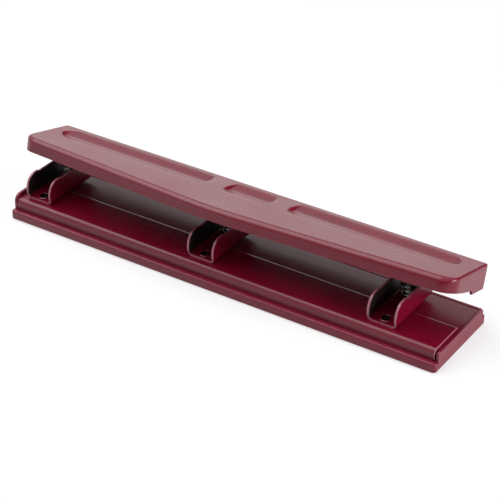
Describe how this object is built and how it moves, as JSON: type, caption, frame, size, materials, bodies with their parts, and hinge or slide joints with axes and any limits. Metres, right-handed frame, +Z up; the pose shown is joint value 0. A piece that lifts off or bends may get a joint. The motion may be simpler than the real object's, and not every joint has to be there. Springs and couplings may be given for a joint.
{
  "type": "three-hole punch",
  "caption": "Desk three-hole punch: a long pressed lever with a pointed front edge over channel-shaped punch heads on a low base that catches the chips.",
  "frame": {"origin": "middle of the base, on the surface that its feet stand on", "axes": "+X along the row of holes to the right, +Y from the pressed front edge to the back where paper goes in, +Z up"},
  "size_m": [0.2667, 0.0545, 0.047],
  "materials": {
    "painted_sheet": "satin",
    "moulded_base": "satin",
    "bright_steel": "bright",
    "plated_steel": "bright zinc",
    "foot_rubber": "matte"
  },
  "bodies": {
    "base": {"chip_tray": "moulded_base", "foot_front_left": "foot_rubber", "foot_front_right": "foot_rubber", "foot_rear_left": "foot_rubber", "foot_rear_right": "foot_rubber", "die_plate": "painted_sheet", "front_plate": "painted_sheet", "head_bracket_left": "painted_sheet", "bracket_rivet_left": "painted_sheet", "return_spring_left": "plated_steel", "hinge_pin_left": "bright_steel", "head_bracket_middle": "painted_sheet", "bracket_rivet_middle": "painted_sheet", "return_spring_middle": "plated_steel", "hinge_pin_middle": "bright_steel", "head_bracket_right": "painted_sheet", "bracket_rivet_right": "painted_sheet", "return_spring_right": "plated_steel", "hinge_pin_right": "bright_steel"},
    "lever": {"lever_cover": "painted_sheet", "lever_yoke_left": "painted_sheet", "lever_yoke_middle": "painted_sheet", "lever_yoke_right": "painted_sheet"},
    "pin_left": {"punch_pin_left": "bright_steel", "spring_washer_left": "plated_steel", "retaining_clip_left": "bright_steel"},
    "pin_middle": {"punch_pin_middle": "bright_steel", "spring_washer_middle": "plated_steel", "retaining_clip_middle": "bright_steel"},
    "pin_right": {"punch_pin_right": "bright_steel", "spring_washer_right": "plated_steel", "retaining_clip_right": "bright_steel"}
  },
  "joints": [
    {"name": "lever_hinge", "type": "hinge", "parent": "base", "child": "lever", "pos_m": [0, 0.0183, 0.0198], "axis": [1, 0, 0], "range_deg": [0, 15], "stiffness_Nm_per_rad": 1.5, "springref_deg": -8.59},
    {"name": "pin_slide_left", "type": "slide", "parent": "base", "child": "pin_left", "axis": [0, 0, -1], "range_m": [0, 0.0027], "deforming": ["return_spring_left"]},
    {"name": "pin_slide_middle", "type": "slide", "parent": "base", "child": "pin_middle", "axis": [0, 0, -1], "range_m": [0, 0.0027], "deforming": ["return_spring_middle"]},
    {"name": "pin_slide_right", "type": "slide", "parent": "base", "child": "pin_right", "axis": [0, 0, -1], "range_m": [0, 0.0027], "deforming": ["return_spring_right"]}
  ],
  "couplings": [
    {"joint": "pin_slide_left", "follows": "lever_hinge", "m_per_rad": 0.0102},
    {"joint": "pin_slide_middle", "follows": "lever_hinge", "m_per_rad": 0.0102},
    {"joint": "pin_slide_right", "follows": "lever_hinge", "m_per_rad": 0.0102}
  ]
}
